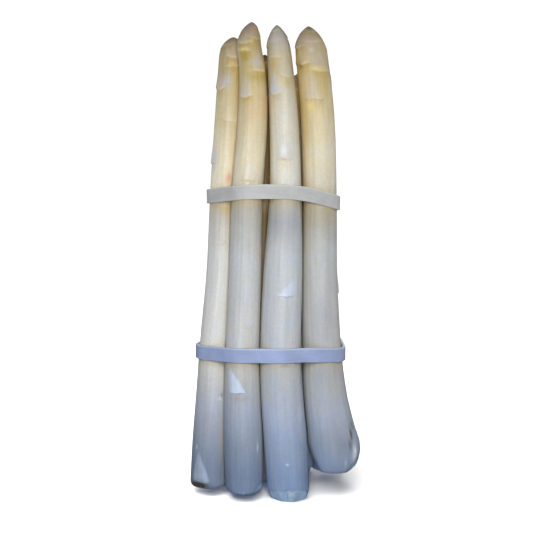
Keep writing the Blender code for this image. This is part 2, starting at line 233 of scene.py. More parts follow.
        "x": (-7.6, -5.9, -5.1, -4.9, -3.9, -2.3, -2.6, -0.6),
        "y": (16.5, 15.6, 14.8, 13.8, 13.6, 12.4, 13.0, 11.8),
        "radius": (8.8, 8.5, 8.2, 8.0, 7.6, 7.0, 6.4, 5.4),
        "warmth": 0.3, "paleness": 0.5, "coolness": 0.4, "tone": 0.97, "footTone": 1.0,
    },
    "spear_back_mid_right": {
        "piece": "spearBackMidRight", "foot": 0.0, "tip": 200.0, "turn": 150,
        "tipLength": 17.0, "point": 0.85,
        "x": (10.2, 11.5, 11.5, 11.0, 11.0, 11.2, 11.1, 12.0),
        "y": (20.2, 19.4, 19.1, 18.4, 18.8, 18.6, 14.4, 12.4),
        "radius": (8.8, 8.6, 8.3, 8.0, 7.6, 7.0, 6.4, 5.4),
        "warmth": 0.7, "paleness": 0.0, "coolness": -0.2, "tone": 1.03, "footTone": 1.0,
    },
}

# How finely a spear is meshed: sides round it, and ring spacing away from ledges, at ledges
# and in the tip.
meshDetail = {
    "fine": {"sides": 144, "plainStep": 0.8, "ledgeStep": 0.2, "tipStep": 0.35, "ledgeReach": 1.3},
    "plain": {"sides": 96, "plainStep": 1.1, "ledgeStep": 0.28, "tipStep": 0.5, "ledgeReach": 1.2},
}

# The stem between its scales. Trim rounds the cut end of a spear that gives none of its own.
# lumps: size, count round the stem, turn from spear to spear, twist up the stem.
# ribs: depth, count, sway, length of the sway, turn from spear to spear.
stemForm = {
    "trimHeight": 2.5, "trimInset": 1.4, "tipRound": 3,
    "footSteps": 14, "rimMargin": 2, "ledgeShift": 0.3, "tipCrowding": 1.35, "weld": 0.001,
    "tipCalm": 12, "footCalm": 3,
    "lumps": ((0.009, 2, 1.3, 60), (0.006, 3, 2.1, -45)),
    "ribs": ((0.03, 21, 1.8, 33, 1), (0.02, 34, -1.2, 21, 0)),
}

# Scales: the first bud depths and the rule depths match the solid frame, the extra bud ones are finer.
scaleForm = {
    "goldenTurn": 137.5,
    "budDepths": (3.2, 6.2, 10.2), "budPaleness": 0.25,
    "extraBudDepths": (1.7, 4.7, 8.2), "extraPaleness": 0.15, "extraThickness": 0.2,
    "ruleDepths": (15.0, 21.0, 29.0, 41.0, 58.0, 83.0, 119.0, 169.0),
    "lengthShare": 0.55, "shortest": 8.0, "longest": 13.0, "mostOfDepth": 0.9,
    "tipThickness": 0.35, "thickness": 0.85, "fullDepth": 22.0,
    "halfAngle": 36, "budHalfAngle": 38, "budReach": 16,
    "gap": 0.35, "thinnest": 0.1, "blend": 0.6, "flatten": 0.9, "taper": 1.4,
    "bow": 1.3, "bowReach": 1.2, "tiltReach": 4, "ledge": 0.8, "fold": 0.62,
    "raggedness": 0.16, "ragWaves": ((1, 0.9, 2.3), (0.6, 2.3, 1.1)),  # size, pace, shift by scale
    "groove": 0.12, "grooveDrop": 0.9, "grooveSpread": 0.8, "underBlend": 2.6,
    "farRoom": 10.0, "feelers": (-45, -22, 0, 22, 45), "feelerRise": 6, "tipMargin": 5,
}

# Paint that the scales bring: their pale faces, a painted shade under their ledges and a painted highlight
# along them; how softly it starts at the edge, and how much it fades upwards.
# The two rises: start height, span and least share of the painted shade and the painted highlight at the
# ledges.
scalePaint = {
    "faceBlend": 2.4, "faceFade": 0.6, "peelBlend": 0.8, "peelFade": 0.35,
    "ledgeShadeReach": 2.8, "ledgeShadeBlend": 0.5, "leastLedgeShade": 0.25, "ledgeShadeRise": (120, 60, 0.2),
    "rimLift": 0.45, "rimSpread": 0.5, "ledgeHighlightRise": (70, 80, 0.15),
}

# Flat cuts: how crumpled they are, how far they can reach, and how they run into the stem.
shaveForm = {
    "crumple": 0.16, "crumpleWaves": ((14, 2.3), (-9, 3.1)), "leastCosine": 0.2,
    "overTop": 3, "halfReach": 1.3, "sharp": 0.3, "soft": 1.0, "paintBlend": 0.6,
}

# How far the painted shade in the crevices and the painted shade under the bands reach from what they touch.
creviceForm = {
    "farAway": 50.0, "reach": 2.2, "beyondEnds": 2,
    "bandReach": 2.6, "bandReachInside": 5.5, "bandOverlap": 1,
}

# Bands. feelers are heights in band widths, waves are size, count and start.
bandForm = {
    "halfWidth": 31.0, "halfDepth": 25.0, "width": 6.5, "thickness": 1.3, "cadGap": 0.35, "gap": 0.12,
    "around": 420, "outerRings": 40, "corner": 0.32, "cornerSegments": 3, "core": 10.0, "weld": 0.0005,
    "passes": 2, "feelerTurn": 0.5, "feelers": (-0.5, -0.25, 0, 0.25, 0.5),
    "grooveDepth": 0.11, "grooveWidth": 0.15, "grooveFloor": 0.8, "grooveBlend": 0.1,
    "waves": ((0.05, 7, 0), (0.04, 17, 1)), "paintRadius": 0.033, "rimWidth": 0.9, "rimBlend": 0.8,
}
bands = {
    "band_lower": {"piece": "bandLower", "middle": 69.8, "leftDrop": 0.8, "rightDrop": 1.7, "backDrop": 0.4,
                   "grooves": ()},
    "band_upper": {"piece": "bandUpper", "middle": 143.6, "leftDrop": 2.1, "rightDrop": 5.8, "backDrop": 1.5,
                   "grooves": (-1.9, -1.2, -0.5, 0.3)},  # heights from the middle of the band
}


def smoothStep(value):
    value = np.clip(value, 0, 1)
    return value * value * (3 - 2 * value)


# Grows smoothly with height, from the least to 1.
def growUp(height, start, span, least):
    return least + (1 - least) * smoothStep((height - start) / span)


# A smooth curve through the values at the station heights.
def readSmoothly(values, height):
    values = np.array(values, float)
    last = len(values) - 1
    low = np.maximum(np.arange(last + 1) - 1, 0)
    high = np.minimum(np.arange(last + 1) + 1, last)
    slope = (values[high] - values[low]) / (stationHeights[high] - stationHeights[low])
    at = np.clip(np.searchsorted(stationHeights, height, side="right") - 1, 0, last - 1)
    span = stationHeights[at + 1] - stationHeights[at]
    t = (height - stationHeights[at]) / span
    return ((2 * t**3 - 3 * t**2 + 1) * values[at] + (t**3 - 2 * t**2 + t) * span * slope[at]
            + (3 * t**2 - 2 * t**3) * values[at + 1] + (t**3 - t**2) * span * slope[at + 1])


def radiusAt(spear, height):
    share = np.clip((spear["tip"] - height) / spear["tipLength"], 0, 1)
    above = np.clip((height - spear["foot"]) / spear.get("trimHeight", stemForm["trimHeight"]), 0, 1)
    trimmed = spear.get("trimInset", stemForm["trimInset"]) * (1 - np.sqrt(1 - (1 - above) ** 2))
    taper = (1 - (1 - share) ** stemForm["tipRound"]) ** spear["point"]
    return readSmoothly(spear["radius"], height) * taper - trimmed


def bandHeight(band, x, y):
    across = x / bandForm["halfWidth"]
    behind = (y / bandForm["halfDepth"] + 1) / 2
    endDrop = np.where(across < 0, band["leftDrop"], band["rightDrop"])
    return band["middle"] - endDrop * across**2 - band["backDrop"] * behind


# How much room a scale has before it meets another spear or a band.
def freeRoom(name, height, bearing):
    spear, form = spears[name], scaleForm
    room = form["farRoom"]
    turns = np.radians(bearing + np.array(form["feelers"]))
    for level in (height, height + form["feelerRise"]):
        radius = radiusAt(spear, level)
        sideX = readSmoothly(spear["x"], level) + np.sin(turns) * radius
        sideY = readSmoothly(spear["y"], level) - np.cos(turns) * radius
        for otherName, other in spears.items():
            if otherName != name and level < other["tip"] + form["tipMargin"]:
                otherX, otherY = readSmoothly(other["x"], level), readSmoothly(other["y"], level)
                away = np.hypot(sideX - otherX, sideY - otherY)
                room = min(room, float((away - radiusAt(other, level)).min()))
    for band in bands.values():
        middle = bandHeight(band, readSmoothly(spear["x"], height), readSmoothly(spear["y"], height))
        low = middle - bandForm["width"] / 2 - form["longest"]
        if low < height < middle + bandForm["width"] / 2 + bandForm["cadGap"]:
            room = 0
    return room


def planScales(name):
    spear, form = spears[name], scaleForm
    listed = spear.get("scales", ())  # a hidden spear lists none and follows the rule
    depths = form["budDepths"] if listed else form["budDepths"] + form["ruleDepths"]
    extraTurn = spear["turn"] + form["goldenTurn"] / 2
    rows = ((depths, spear["turn"], form["budPaleness"], True),
            (form["extraBudDepths"], extraTurn, form["extraPaleness"], False))
    places = [(spear["tip"] - depth, turn + k * form["goldenTurn"], paleness, {}, isMain)
              for rowDepths, turn, paleness, isMain in rows for k, depth in enumerate(rowDepths)]
    places += [(*entry[:3], entry[3] if len(entry) > 3 else {}, True) for entry in listed]
    scales = []
    for height, bearing, paleness, extra, isMain in places:
        depth = spear["tip"] - height
        length = min(max(depth * form["lengthShare"], form["shortest"]), form["longest"])
        growth = min(depth / form["fullDepth"], 1)
        wanted = form["tipThickness"] + (form["thickness"] - form["tipThickness"]) * growth
        wanted = wanted if isMain else form["extraThickness"]
        thickness = min(wanted, freeRoom(name, height, bearing) - form["gap"])
        halfAngle = form["halfAngle"] + form["budHalfAngle"] * math.exp(-depth / form["budReach"])
        if thickness > form["thinnest"]:
            scales.append({
                "height": height, "bearing": bearing, "paleness": paleness, "thickness": thickness,
                "tilt": 0, "lean": 0, "peel": 0, "bow": form["bow"],
                "length": min(length, depth * form["mostOfDepth"]),
                "halfWidth": math.radians(halfAngle) * float(radiusAt(spear, height)), **extra,
            })
    return scales


# Ring heights from the foot up: close together at each ledge and in the tip.
def ringHeights(spear, scales):
    detail = meshDetail[spear.get("detail", "plain")]
    ledges = [scale["height"] for scale in scales]
    top = spear["tip"] - spear["tipLength"]
    rim = spear["foot"] + spear.get("trimHeight", stemForm["trimHeight"]) + stemForm["rimMargin"]
    height = spear["foot"]
    heights = []
    while height < top:
        heights.append(height)
        toLedge = min(abs(height - ledge + stemForm["ledgeShift"]) for ledge in ledges)
        isFine = toLedge < detail["ledgeReach"] or height < rim
        height += detail["ledgeStep"] if isFine else detail["plainStep"]
    tipCount = int(spear["tipLength"] / detail["tipStep"])
    left = [(1 - k / tipCount) ** stemForm["tipCrowding"] for k in range(tipCount + 1)]
    return heights + [spear["tip"] - spear["tipLength"] * share for share in left]


# Spins a profile all the way round Z and points the faces outwards.
def spinRound(shape, sides, weld):
    bmesh.ops.spin(shape, geom=shape.verts[:] + shape.edges[:], cent=(0, 0, 0), axis=(0, 0, 1),
                   angle=math.tau, steps=sides, use_merge=True)
    bmesh.ops.remove_doubles(shape, verts=shape.verts, dist=weld)
    bmesh.ops.recalc_face_normals(shape, faces=shape.faces)


# A tube of radius 1 on Z, closed flat below and in a point above.
def spinBlank(heights, sides):
    blank = bmesh.new()
    steps = stemForm["footSteps"]
    profile = [blank.verts.new((k / steps, 0, heights[0])) for k in range(steps + 1)]
    profile += [blank.verts.new((1, 0, height)) for height in heights[1:-1]]
    profile.append(blank.verts.new((0, 0, heights[-1])))
    for low, high in zip(profile, profile[1:]):
        blank.edges.new((low, high))
    spinRound(blank, sides, stemForm["weld"])
    return blank


def makeMesh(shape, name):
    mesh = bpy.data.meshes.new(name)
    shape.to_mesh(mesh)
    shape.free()
    return mesh


# The height of each point, the angle from the front, and the distance from Z.
def readPoints(mesh):
    points = np.empty(len(mesh.vertices) * 3, np.float32)
    mesh.vertices.foreach_get("co", points)
    x, y, z = points.reshape(-1, 3).astype(float).T
    return z, np.arctan2(x, -y), np.hypot(x, y)


def movePoints(mesh, x, y, z):
    mesh.vertices.foreach_set("co", (np.stack((x, y, z), 1) * mm).astype(np.float32).ravel())


def writeAttribute(mesh, name, values):
    kind = "FLOAT_VECTOR" if values.ndim == 2 else "FLOAT"
    attribute = mesh.attributes.new(name, kind, "POINT")
    attribute.data.foreach_set("vector" if values.ndim == 2 else "value", values.astype(np.float32).ravel())


def addPiece(name, mesh, material):
    mesh.shade_smooth()
    mesh.materials.append(material)
    piece = bpy.data.objects.new(name, mesh)
    bpy.context.scene.collection.objects.link(piece)
    print("made", name, len(mesh.polygons), "faces")
    return piece


def turnBetween(bearing, target):
    return (bearing - target + 180) % 360 - 180


# How far round the stem each point is from a bearing, in millimetres.
def sideOf(stem, bearing):
    return np.radians(turnBetween(stem["bearing"], bearing)) * stem["radius"]


def spotOn(stem, height, bearing, halfWidth, halfHeight):
    side = sideOf(stem, bearing)
    return np.exp(-((side / halfWidth) ** 2 + ((stem["z"] - height) / halfHeight) ** 2))


# Stems are never quite round, and faintly ribbed.
def stemRelief(spear, index, stem):
    z, angle = stem["z"], stem["angle"]
    calm = smoothStep((spear["tip"] - z) / stemForm["tipCalm"])
    calm = calm * smoothStep((z - spear["foot"]) / stemForm["footCalm"])
    lumps = sum(size * np.cos(count * angle + turn * index + z / twist)
                for size, count, turn, twist in stemForm["lumps"])
    ribs = sum(depth * np.sin(count * angle + sway * np.sin(z / length + turn * index))
               for depth, count, sway, length, turn in stemForm["ribs"])
    return (stem["radius"] * lumps + ribs) * calm


# Lifts one scale off the stem, with a groove under its ledge, and paints its face, a painted shade under its
# ledge and a painted highlight along it.
def growScale(stem, scale, order, lift, masks):
    form, paint = scaleForm, scalePaint
    z, halfWidth = stem["z"], scale["halfWidth"]
    side = sideOf(stem, scale["bearing"])
    sideShare = np.clip(side / halfWidth, -form["bowReach"], form["bowReach"])
    tilted = scale["tilt"] * np.clip(side, -form["tiltReach"], form["tiltReach"])
    ragged = sum(size * np.sin(pace * side + shift * order) for size, pace, shift in form["ragWaves"])
    base = scale["height"] + tilted + scale["bow"] * sideShare ** 2
    base = base + form["raggedness"] * ragged
    above, below = z - base, base - z
    up = np.clip(above / scale["length"], 0, 1)
    inset = halfWidth * (1 - up ** form["taper"]) - np.abs(side - scale["lean"] * up)
    rise = smoothStep(above / form["ledge"] + 0.5) * (up < 1)
    swell = smoothStep(inset / (form["blend"] * halfWidth))
    leaf = form["fold"] * scale["thickness"] * (1 - form["flatten"] * up) * swell * rise
    under = np.where(below > 0, smoothStep((halfWidth - np.abs(side)) / form["underBlend"]), 0)
    groove = np.exp(-((below - form["grooveDrop"]) / form["grooveSpread"]) ** 2)
    groove = form["groove"] * scale["thickness"] * groove * under
    face = smoothStep(inset / paint["faceBlend"]) * rise
    peeled = smoothStep(inset / paint["peelBlend"]) * rise * (1 - paint["peelFade"] * up)
    # A painted golden shade under the ledge, and a painted highlight along it.
    ledgeShade = stem["ledgeShade"] * np.exp(-below / paint["ledgeShadeReach"]) * under
    rim = np.exp(-((above - paint["rimLift"]) / paint["rimSpread"]) ** 2) * swell
    for kind, painted in (("scaleFace", scale["paleness"] * face * (1 - paint["faceFade"] * up)),
                          ("peel", scale["peel"] * peeled),
                          ("paintedLedgeShade", ledgeShade * smoothStep(below / paint["ledgeShadeBlend"])),
                          ("ledgeHighlight", rim * stem["ledgeHighlightFade"])):
        masks[kind] = np.maximum(masks[kind], painted)
    return np.maximum(lift, leaf) - groove


# Cuts one flat off the foot, slightly crumpled, and paints it.
def shaveFoot(spear, stem, radius, masks, turn, reach, bite, paleness=1):
    form, z = shaveForm, stem["z"]
    top = spear["foot"] + reach
    off = np.radians(turnBetween(stem["bearing"], turn))
    flat = (radiusAt(spear, top) - bite * (top - z) / reach) / np.maximum(np.cos(off), form["leastCosine"])
    crumple = form["crumple"] * paleness
    for roundPace, risePace in form["crumpleWaves"]:
        crumple = crumple * np.sin(off * roundPace + z * risePace)
    past = radius - (flat + crumple)
    shaved = (z < top + form["overTop"]) & (np.abs(off) < form["halfReach"])
    softness = form["sharp"] if paleness == 1 else form["soft"]
    shown = np.maximum(masks["facet"], paleness * smoothStep(past / form["paintBlend"]))
    masks["facet"] = np.where(shaved, shown, masks["facet"])
    return np.where(shaved, radius - (past + np.sqrt(past**2 + softness**2)) / 2, radius)


# How near the other spears and the bands are, for the painted shade in the crevices and under the bands.
def paintCreviceAndBandShade(name, x, y, z, masks):
    form = creviceForm
    nearest = np.full_like(z, form["farAway"])
    for otherName, other in spears.items():
        if otherName != name:
            away = np.hypot(x - readSmoothly(other["x"], z), y - readSmoothly(other["y"], z))
            beside = (z > other["foot"] - form["beyondEnds"]) & (z < other["tip"] + form["beyondEnds"])
            nearest = np.where(beside, np.minimum(nearest, away - radiusAt(other, z)), nearest)
    masks["paintedCreviceShade"] = np.exp(-np.maximum(nearest, 0) / form["reach"])
    reach = form["bandReach"] + form["bandReachInside"] * masks["paintedCreviceShade"]
    masks["bandShade"] = np.zeros_like(z)
    for band in bands.values():
        under = bandHeight(band, x, y) - bandForm["width"] / 2 - z
        shade = np.exp(-(np.maximum(under, 0) / reach) ** 2)
        shade = np.where(under > -form["bandOverlap"], shade, 0)
        masks["bandShade"] = np.maximum(masks["bandShade"], shade)


# Of these kinds of mark, the bluish grey one is painted shade, the white one is painted highlights with a
# few real pale flecks, and the lemon-yellow one is yellow patches with some painted highlights.
markKinds = ("mustard", "amber", "yellowAndHighlight", "blush", "mauve", "bloom", "bluishShade", "bruise", "highlightAndFleck")
formKinds = ("scaleFace", "peel", "paintedLedgeShade", "ledgeHighlight", "facet", "cutFace")


def makeSpear(name, index):
    spear = spears[name]
    scales = planScales(name)
    blank = spinBlank(ringHeights(spear, scales), meshDetail[spear.get("detail", "plain")]["sides"])
    mesh = makeMesh(blank, spear["piece"])
    z, angle, share = readPoints(mesh)
    masks = {kind: np.zeros_like(z) for kind in formKinds + markKinds}
    warmLedgeShade = scalePaint["leastLedgeShade"] + (1 - scalePaint["leastLedgeShade"]) * spear["warmth"]
    stem = {
        "z": z, "angle": angle, "bearing": np.degrees(angle), "radius": radiusAt(spear, z),
        "ledgeShade": warmLedgeShade * growUp(z, *scalePaint["ledgeShadeRise"]), "ledgeHighlightFade": growUp(z, *scalePaint["ledgeHighlightRise"]),
    }

    radius = stem["radius"] + stemRelief(spear, index, stem)
    lift = np.zeros_like(z)
    for order, scale in enumerate(scales):
        lift = growScale(stem, scale, order, lift, masks)
    radius = radius + lift
    for *spot, amount in spear.get("bulges", ()):
        radius = radius + amount * spotOn(stem, *spot)
    for kind, *spot, strength in spear.get("marks", ()):
        masks[kind] = np.maximum(masks[kind], strength * spotOn(stem, *spot))
    for shave in spear.get("shaves", ()):
        radius = shaveFoot(spear, stem, radius, masks, *shave)
    masks["cutFace"] = 1.0 * ((share < 0.999) & (z < spear["foot"] + 0.01))  # all but the rim of the cut

    placeX = readSmoothly(spear["x"], z) + np.sin(angle) * radius * share
    for height, spread, shift in spear.get("bends", ()):
        placeX = placeX + shift * np.exp(-((z - height) / spread) ** 2)
    placeY = readSmoothly(spear["y"], z) - np.cos(angle) * radius * share
    paintCreviceAndBandShade(name, placeX, placeY, z, masks)

    movePoints(mesh, placeX, placeY, z)
    unbent = np.stack((np.sin(angle) * stem["radius"] * share, np.cos(angle) * stem["radius"] * share, z), 1)
    writeAttribute(mesh, "growth", unbent * mm)
    for kind, values in masks.items():
        writeAttribute(mesh, kind, values)
    piece = addPiece(spear["piece"], mesh, makeSkin(spear, index))
    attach(piece, "root")
    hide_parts(name)


# Node helpers shared by the materials.
def addNode(tree, kind, links=(), **settings):
    node = tree.nodes.new("ShaderNode" + kind)
    for key, value in settings.items():
        setattr(node, key, value)
    for socket, source in links:
        if hasattr(source, "links"):
            tree.links.new(source, node.inputs[socket])
        else:
            node.inputs[socket].default_value = source
    return node


# Mixes two colours, each a socket or three numbers.
def mixColour(tree, factor, low, high):
    low, high = (side if hasattr(side, "links") else (*side, 1) for side in (low, high))
    return addNode(tree, "Mix", ((0, factor), (6, low), (7, high)), data_type="RGBA").outputs[2]


def shadeColour(tree, colour, shade):
    return addNode(tree, "VectorMath", ((0, colour), ("Scale", shade)), operation="SCALE").outputs[0]


def compute(tree, operation, first, second=0.0, clamp=False):
    return addNode(tree, "Math", ((0, first), (1, second)), operation=operation, use_clamp=clamp).outputs[0]


def times(tree, first, second, clamp=False):
    return compute(tree, "MULTIPLY", first, second, clamp)


def plus(tree, first, second, clamp=False):
    return compute(tree, "ADD", first, second, clamp)


# limits: from low, from high, then to low, to high where these aren't 0 and 1.
def remap(tree, value, limits, kind="LINEAR"):
    return addNode(tree, "MapRange", ((0, value), *enumerate(limits, 1)), interpolation_type=kind).outputs[0]


def addNoise(tree, vector, scale, detail):
    return addNode(tree, "TexNoise", (("Vector", vector), ("Scale", scale), ("Detail", detail))).outputs[0]


def stretch(tree, vector, scale):
    return addNode(tree, "Mapping", ((0, vector), ("Scale", scale))).outputs[0]


def readAttribute(tree, name, output="Fac"):
    return addNode(tree, "Attribute", attribute_name=name).outputs[output]


def startGroup(name, inputs, outputs):
    group = bpy.data.node_groups.new(name, "ShaderNodeTree")
    for way, sockets in (("INPUT", inputs), ("OUTPUT", outputs)):
        for socketName, kind in sockets:
            group.interface.new_socket(name=socketName, in_out=way, socket_type="NodeSocket" + kind)
    return group, group.nodes.new("NodeGroupInput").outputs


def endGroup(group, **results):
    ending = group.nodes.new("NodeGroupOutput")
    for socketName, value in results.items():
        group.links.new(value, ending.inputs[socketName])
    return group


def setInputs(node, values):
    for socketName, value in values.items():
        node.inputs[socketName].default_value = value


# A material with the colour, roughness and relief of a group. shine goes on the shader itself.
def makeFinish(name, group, values, bump, shine):
    material = bpy.data.materials.new(name)
    material.use_nodes = True
    tree = material.node_tree
    surface = tree.nodes["Principled BSDF"]
    setInputs(surface, shine)
    finish = addNode(tree, "Group", node_tree=group)
    setInputs(finish, values)
    relief = addNode(tree, "Bump", (*bump.items(), ("Height", finish.outputs["Height"]))).outputs[0]
    tree.links.new(finish.outputs["Color"], surface.inputs["Base Color"])
    tree.links.new(finish.outputs["Roughness"], surface.inputs["Roughness"])
    tree.links.new(relief, surface.inputs["Normal"])
    return material


finishOutputs = (("Color", "Color"), ("Roughness", "Float"), ("Height", "Float"))

# Lengthwise fibres, on coordinates that follow the bent stem.
fibreForm = {"stretch": (1, 1, 0.07), "broadDetail": 3.0, "finer": 3.3, "fineDetail": 2.0}


def makeFibreGroup():
    group, given = startGroup("fibres", (("Vector", "Vector"), ("Width", "Float")),
                              (("Streaks", "Float"), ("Fine", "Float")))
    stretched = stretch(group, given["Vector"], fibreForm["stretch"])
    scale = compute(group, "DIVIDE", 1.0, given["Width"])
    broad = addNoise(group, stretched, scale, fibreForm["broadDetail"])
    fine = addNoise(group, stretched, times(group, scale, fibreForm["finer"]), fibreForm["fineDetail"])
    return endGroup(group, Streaks=broad, Fine=fine)


skinTints = {
    # Colour by height is the spears' own colour with painted light and shade in it: brightest just above the
    # upper band, a painted shade just under that band, and darker and bluer towards the feet as painted cool
    # shade.
    "colourAndShadeByHeight": (
        (0, (0.305, 0.41, 0.60)), (12, (0.285, 0.37, 0.53)), (25, (0.345, 0.42, 0.55)),
        (42, (0.50, 0.55, 0.66)), (62, (0.62, 0.62, 0.60)), (80, (0.66, 0.67, 0.68)),
        (115, (0.63, 0.66, 0.67)), (130, (0.53, 0.53, 0.51)), (139, (0.54, 0.50, 0.40)),
        (147, (0.82, 0.78, 0.67)), (158, (0.87, 0.83, 0.69)), (180, (0.79, 0.71, 0.51)),
        (190, (0.70, 0.60, 0.36)), (199, (0.58, 0.48, 0.28)), (209, (0.53, 0.455, 0.33)),
        (220, (0.36, 0.275, 0.22)),
    ),
    "warm": (0.79, 0.635, 0.27),
    "pale": (0.86, 0.88, 0.86),
    # Painted shade in the crevices between spears: golden higher up, grey-brown lower down.
    "creviceShadeHigh": (0.50, 0.33, 0.07),
    "creviceShadeLow": (0.56, 0.53, 0.45),
    # Dark golden painted shade for spears deep in the bundle.
    "innerShade": (0.15, 0.085, 0.01),
    "warmShift": (1.04, 1.0, 0.93),
    "coolShift": (0.965, 0.995, 1.055),
    "cut": (0.70, 0.81, 0.98),
    "vessel": (0.40, 0.44, 0.42),
}

# Each attribute paints its tint over the ones before it: attribute, tint, strength.
skinLayers = (
    ("scaleFace", (0.70, 0.70, 0.76), 0.6),
    # A painted golden shade under the scale ledges, then a painted highlight along them.
    ("paintedLedgeShade", (0.55, 0.37, 0.07), 0.85),
    ("ledgeHighlight", (0.86, 0.78, 0.52), 0.28),
    ("peel", (0.74, 0.82, 0.98), 0.85),
    ("facet", (0.60, 0.80, 1.0), 0.95),
    ("bandShade", (0.56, 0.44, 0.23), 0.62),
    ("mustard", (0.50, 0.36, 0.05), 0.9),
    ("amber", (0.62, 0.40, 0.08), 0.9),
    # The lemon-yellow layer is yellow patches and, where thin along ledges, painted highlights.
    ("yellowAndHighlight", (0.92, 0.74, 0.30), 0.9),
    ("blush", (0.80, 0.46, 0.30), 0.8),
    ("mauve", (0.44, 0.34, 0.31), 0.8),
    ("bloom", (0.64, 0.65, 0.75), 0.9),
    # The bluish grey layer is painted shade.
    ("bluishShade", (0.30, 0.34, 0.42), 0.8),
    # The white layer is painted highlights on ledges, tips and cut facets, with a few real pale flecks of
    # torn skin.
    ("highlightAndFleck", (0.95, 0.96, 0.98), 1.0),
    ("bruise", (0.10, 0.075, 0.05), 0.9),
)

# Sizes and ranges of the skin's patterns. Heights are in metres, noises are scale and detail.
# A range is from low, from high, then to low, to high.
skinPattern = {
    "tall": 0.22, "fibreWidth": 0.0024, "mottle": (130.0, 4.0), "grain": (800.0, 4.0),
    "patches": (170.0, 5.0), "patchSquash": (1, 1, 0.7), "waver": (0.2, 0.8, -0.004, 0.004),
    "upper": (0.12, 0.19), "golden": (0.06, 0.14), "warmMottle": 0.9, "belowTip": (0.17, 0.2, 0.6, 0.3),
    "shiftPatches": (0.35, 0.65), "shiftAmount": 0.55, "coolShare": 0.5,
    "footRange": (0.015, 0.06), "streakShade": (0.3, 0.7, 0.93, 1.07),
    "grainShade": (0.3, 0.7, 0.955, 1.045), "creviceShade": 0.65, "uneven": (0.35, 0.65, 0.6, 1.25),
    "vesselScale": 900.0, "vesselDots": (0.1, 0.3), "cut": 0.8,
    "roughness": (0.3, 0.7, 0.48, 0.62), "cutRoughness": 0.15,
    "fineRelief": 0.5, "mottleRelief": 0.4, "grainRelief": 0.25,
}


def makeSkinGroup(fibres):
    form, tints = skinPattern, skinTints
    inputs = ("Warmth", "Paleness", "Coolness", "Tone", "Foot Tone", "Inner Shade", "Offset")
    group, given = startGroup("spearSkin", [(name, "Float") for name in inputs], finishOutputs)
    places = addNode(group, "TexCoord").outputs["Object"]
    growth = readAttribute(group, "growth", "Vector")
    shifted = addNode(group, "VectorMath", ((0, growth), (1, given["Offset"])), operation="ADD").outputs[0]
    fibreInputs = (("Vector", shifted), ("Width", form["fibreWidth"]))
    fibre = addNode(group, "Group", fibreInputs, node_tree=fibres)
    streaks, fine = fibre.outputs["Streaks"], fibre.outputs["Fine"]
    mottle = addNoise(group, shifted, *form["mottle"])
    patches = addNoise(group, stretch(group, shifted, form["patchSquash"]), *form["patches"])
    grain = addNoise(group, shifted, *form["grain"])

    height = addNode(group, "SeparateXYZ", ((0, places),)).outputs["Z"]
    wavering = plus(group, height, remap(group, mottle, form["waver"]))
    position = compute(group, "DIVIDE", wavering, form["tall"], clamp=True)
    ramp = addNode(group, "ValToRGB", ((0, position),))
    stops = ramp.color_ramp.elements
    for k, (level, tint) in enumerate(tints["colourAndShadeByHeight"]):
        stop = stops[k] if k < 2 else stops.new(1)  # a new ramp has two stops
        stop.position = level * mm / form["tall"]
        stop.color = (*tint, 1)
    colour = ramp.outputs[0]

    upper = remap(group, height, form["upper"], "SMOOTHSTEP")
    warmAmount = times(group, given["Warmth"], upper)
    warmAmount = times(group, warmAmount, times(group, mottle, form["warmMottle"]), clamp=True)
    colour = mixColour(group, warmAmount, colour, tints["warm"])
    belowTip = remap(group, height, form["belowTip"])
    paleAmount = times(group, given["Paleness"], belowTip, clamp=True)
    colour = mixColour(group, times(group, paleAmount, upper), colour, tints["pale"])

    # Cool and warm patches, a shift for the whole stem, fibres and grain.
    shiftAmount = times(group, remap(group, patches, form["shiftPatches"]), form["shiftAmount"])
    halfCool = times(group, given["Coolness"], form["coolShare"])
    shiftAmount = plus(group, shiftAmount, halfCool, clamp=True)
    shift = mixColour(group, shiftAmount, tints["warmShift"], tints["coolShift"])
    colour = addNode(group, "VectorMath", ((0, colour), (1, shift)), operation="MULTIPLY").outputs[0]
    stemTone = remap(group, height, (*form["footRange"], given["Foot Tone"], given["Tone"]))
    lowTone = remap(group, upper, (0, 1, stemTone, 1.0))
    streakShade = remap(group, streaks, form["streakShade"])
    shade = times(group, times(group, streakShade, remap(group, grain, form["grainShade"])), lowTone)
    colour = shadeColour(group, colour, shade)

    # Painted shade in the crevices between spears, grey-brown low down and golden higher up.
    golden = remap(group, height, form["golden"], "SMOOTHSTEP")
    creviceShade = mixColour(group, golden, tints["creviceShadeLow"], tints["creviceShadeHigh"])
    creviceShadeAmount = times(group, readAttribute(group, "paintedCreviceShade"), form["creviceShade"])
    colour = mixColour(group, creviceShadeAmount, colour, creviceShade)
    # Spears deep in the bundle get a dark golden painted shade higher up.
    colour = mixColour(group, times(group, given["Inner Shade"], golden), colour, tints["innerShade"])

    uneven = remap(group, patches, form["uneven"])
    for name, tint, strength in skinLayers:
        amount = times(group, readAttribute(group, name), strength)
        colour = mixColour(group, times(group, amount, uneven, clamp=True), colour, tint)

    # Cut ends: pale, with the darker dots of the vessels.
    vessels = addNode(group, "TexVoronoi", (("Vector", places), ("Scale", form["vesselScale"])))
    dots = remap(group, vessels.outputs["Distance"], form["vesselDots"])
    cutTint = mixColour(group, dots, tints["vessel"], tints["cut"])
    cutFace = readAttribute(group, "cutFace")
    colour = mixColour(group, times(group, cutFace, form["cut"]), colour, cutTint)

    roughness = remap(group, mottle, form["roughness"])
    roughness = plus(group, roughness, times(group, cutFace, form["cutRoughness"]))
    relief = plus(group, times(group, fine, form["fineRelief"]), streaks)
    relief = plus(group, relief, times(group, mottle, form["mottleRelief"]))
    relief = plus(group, relief, times(group, grain, form["grainRelief"]))
    return endGroup(group, Color=colour, Roughness=roughness, Height=relief)


